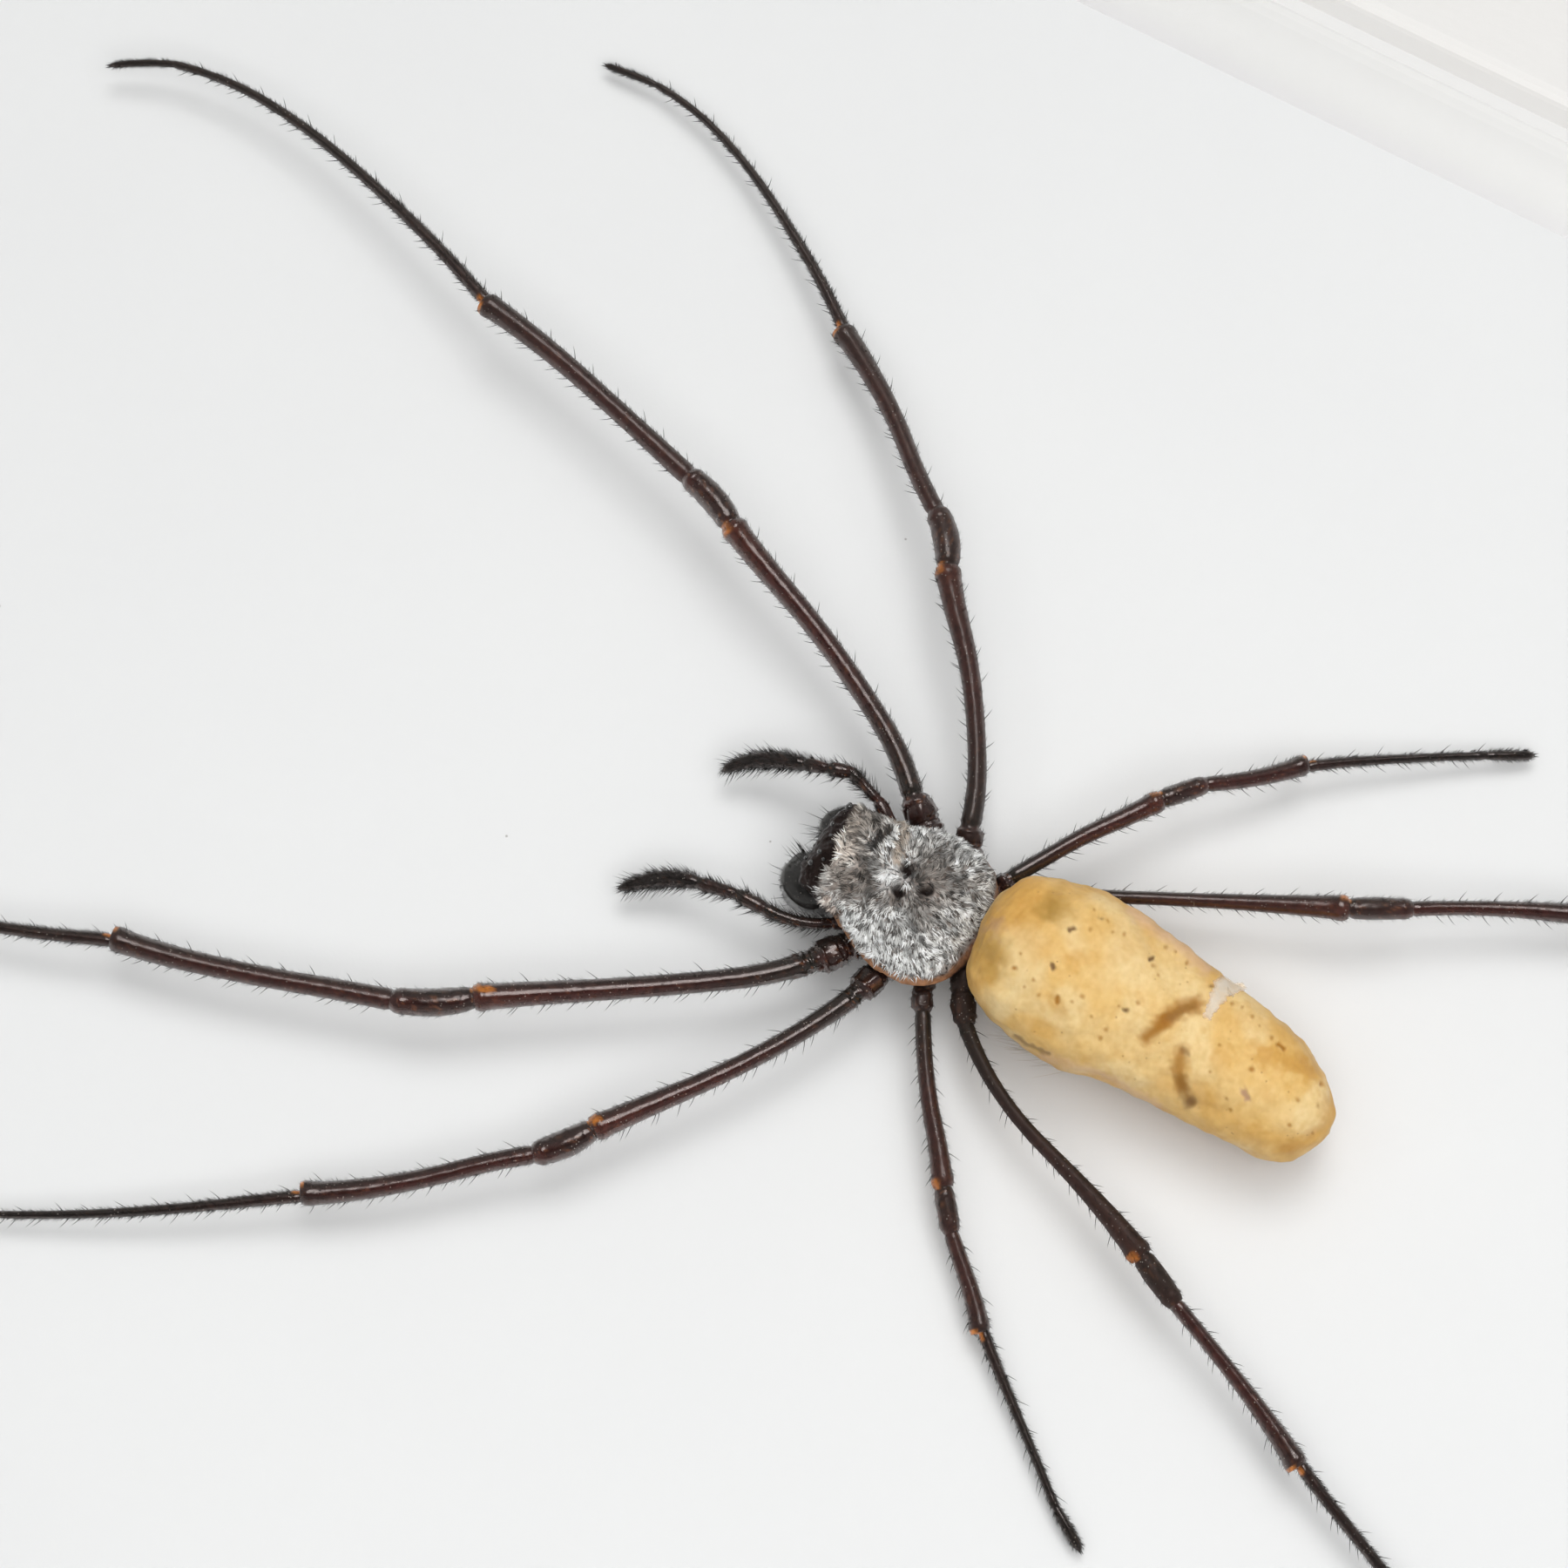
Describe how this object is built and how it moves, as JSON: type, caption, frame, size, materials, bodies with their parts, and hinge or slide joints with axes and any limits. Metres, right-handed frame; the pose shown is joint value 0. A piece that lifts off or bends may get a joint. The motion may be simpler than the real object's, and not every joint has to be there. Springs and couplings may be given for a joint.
{
  "type": "framed spider specimen",
  "caption": "Dried golden orb-weaver spider with spread legs, fixed on a white board inside a white box frame.",
  "frame": {"origin": "middle of the frame's back face, under the middle of its outline", "axes": "+Y along the frame's long side, towards its top and the spider's head; +Z out through the glass; +X towards the spider's right side"},
  "size_m": [0.174, 0.21, 0.0285],
  "materials": {
    "white_paint": "satin white paint",
    "wall_card": "matte white",
    "brown_fibreboard": "plain pressed fibreboard",
    "white_board": "matte white paper face",
    "clear_glass": "clear",
    "bright_steel": "bright",
    "silver_down": "short silver hair over black cuticle",
    "waxy_yellow": "dried waxy skin",
    "black_cuticle": "glossy black cuticle",
    "brown_cuticle": "glossy dark brown cuticle",
    "clear_glue": "clear glue"
  },
  "bodies": {
    "root": {"rail_right": "white_paint", "spacer_right": "wall_card", "rail_top": "white_paint", "spacer_top": "wall_card", "rail_left": "white_paint", "spacer_left": "wall_card", "rail_bottom": "white_paint", "spacer_bottom": "wall_card", "back_panel": "brown_fibreboard", "backing_board": "white_board", "glass_pane": "clear_glass", "panel_tab_1": "bright_steel", "panel_tab_2": "bright_steel", "panel_tab_3": "bright_steel", "panel_tab_4": "bright_steel", "panel_tab_5": "bright_steel", "panel_tab_6": "bright_steel", "prosoma": "silver_down", "abdomen": "waxy_yellow", "chelicera_right": "black_cuticle", "palp_right": "black_cuticle", "chelicera_left": "black_cuticle", "palp_left": "black_cuticle", "leg_right_1": "brown_cuticle", "leg_right_2": "brown_cuticle", "leg_right_3": "brown_cuticle", "leg_right_4": "brown_cuticle", "leg_left_1": "brown_cuticle", "leg_left_2": "brown_cuticle", "leg_left_3": "brown_cuticle", "leg_left_4": "brown_cuticle", "glue_dab_front": "clear_glue", "glue_dab_rear": "clear_glue"}
  },
  "joints": []
}
